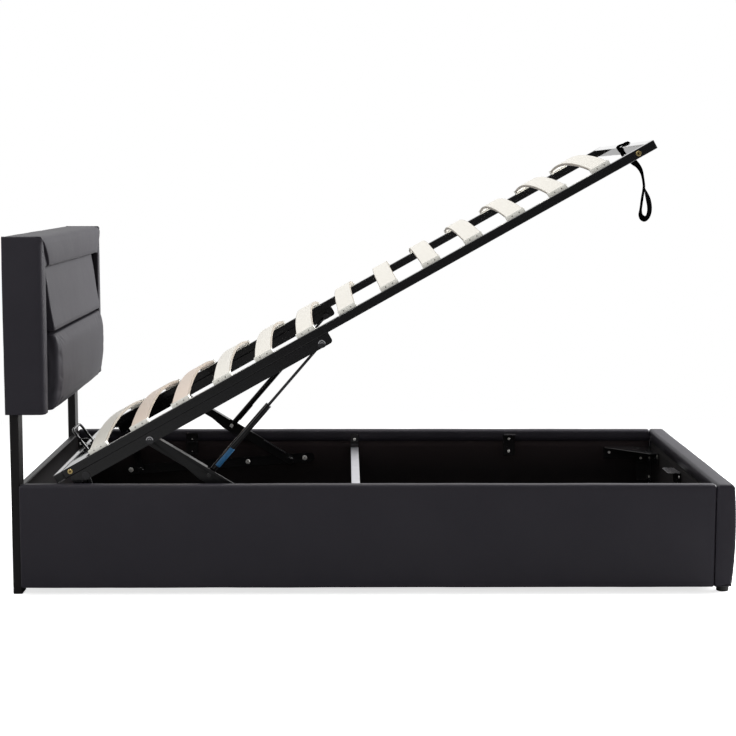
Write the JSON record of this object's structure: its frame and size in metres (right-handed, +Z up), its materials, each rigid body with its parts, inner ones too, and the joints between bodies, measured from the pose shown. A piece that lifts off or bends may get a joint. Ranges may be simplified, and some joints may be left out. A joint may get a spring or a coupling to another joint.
{
  "type": "upholstered gas lift storage bed",
  "caption": "Single bed with faux leather base and padded headboard whose slatted platform lifts on gas struts over a storage box",
  "frame": {"origin": "middle of the bed's outline on the floor", "axes": "+X towards the footboard, +Y to the far side, +Z up"},
  "size_m": [2.0241, 1.03, 1.2641],
  "materials": {
    "leather": "satin black faux leather",
    "board": "raw board",
    "floor_board": "black faced board",
    "black_cloth": "thin black cloth",
    "webbing": "woven webbing",
    "black_timber": "black brown stain",
    "glide_plastic": "matt",
    "silver_steel": "galvanised",
    "zinc": "zinc plated",
    "brass": "plated",
    "cap_plastic": "moulded",
    "sleeve_plastic": "plain blue",
    "rod_steel": "blackened and polished",
    "loop_wire": "powder coat",
    "black_steel": "gloss black powder coat",
    "slat_wood": "pale laminated wood"
  },
  "bodies": {
    "bed_base": {"rail_board_near": "board", "rail_board_far": "board", "rail_cover_near": "leather", "rail_cover_far": "leather", "footboard_board": "board", "footboard_cover": "leather", "base_linings": "black_cloth", "head_panel": "black_timber", "head_posts": "black_timber", "headboard_box": "board", "headboard_wrap": "leather", "headboard_dust_cover": "black_cloth", "headboard_wing_near": "leather", "headboard_wing_far": "leather", "headboard_top_roll": "leather", "headboard_upper_pad": "leather", "headboard_lower_pad": "leather", "glides": "glide_plastic", "storage_floor": "floor_board", "floor_strips": "board", "crossbar": "silver_steel", "crossbar_hangers": "black_steel", "ledge_brackets": "black_steel", "foot_ledge": "black_steel", "corner_brackets": "black_steel", "base_screws": "zinc", "base_bars": "black_steel", "base_bar_bolts": "zinc", "base_pins": "black_steel"},
    "front_link_pair": {"front_links": "black_steel", "strut_studs": "zinc"},
    "lift_platform": {"side_tube_near": "black_steel", "side_tube_far": "black_steel", "head_tube": "black_steel", "foot_tube": "black_steel", "upper_angles": "black_steel", "platform_rivets": "black_steel", "slat_caps": "cap_plastic", "brass_bolts": "brass", "mattress_stop": "loop_wire", "pull_strap": "webbing", "slat_01": "slat_wood", "slat_02": "slat_wood", "slat_03": "slat_wood", "slat_04": "slat_wood", "slat_05": "slat_wood", "slat_06": "slat_wood", "slat_07": "slat_wood", "slat_08": "slat_wood", "slat_09": "slat_wood", "slat_10": "slat_wood", "slat_11": "slat_wood", "slat_12": "slat_wood", "slat_13": "slat_wood"},
    "rear_link_pair": {"rear_links": "black_steel", "rear_link_rivets": "black_steel"},
    "strut_cylinder_pair": {"strut_cylinders": "black_steel", "strut_sleeves": "sleeve_plastic"},
    "strut_rod_pair": {"strut_rods": "rod_steel"}
  },
  "joints": [
    {"name": "front_link_swing", "type": "hinge", "parent": "bed_base", "child": "front_link_pair", "pos_m": [-0.2653, 0, 0.2142], "axis": [0, 1, 0], "range_deg": [-21.58, 0]},
    {"name": "platform_fold", "type": "hinge", "parent": "front_link_pair", "child": "lift_platform", "pos_m": [-0.62222, 0, 0.43094], "axis": [0, 1, 0], "range_deg": [0, 50.91], "stiffness_Nm_per_rad": 60, "springref_deg": -91.67},
    {"name": "rear_link_swing", "type": "hinge", "parent": "bed_base", "child": "rear_link_pair", "pos_m": [-0.7685, 0, 0.1787], "axis": [0, 1, 0], "range_deg": [-34.91, 0]},
    {"name": "strut_swing", "type": "hinge", "parent": "front_link_pair", "child": "strut_cylinder_pair", "pos_m": [-0.45939, 0, 0.33206], "axis": [0, 1, 0], "range_deg": [0, 65.84]},
    {"name": "strut_slide", "type": "slide", "parent": "strut_cylinder_pair", "child": "strut_rod_pair", "axis": [0.6517, 0, 0.7585], "range_m": [-0.12222, 0]}
  ],
  "couplings": [
    {"joint": "front_link_swing", "follows": "platform_fold", "ratio": -0.42344},
    {"joint": "rear_link_swing", "follows": "platform_fold", "ratio": -0.68538},
    {"joint": "strut_swing", "follows": "platform_fold", "ratio": 1.2929},
    {"joint": "strut_slide", "follows": "platform_fold", "m_per_rad": -0.13745}
  ]
}
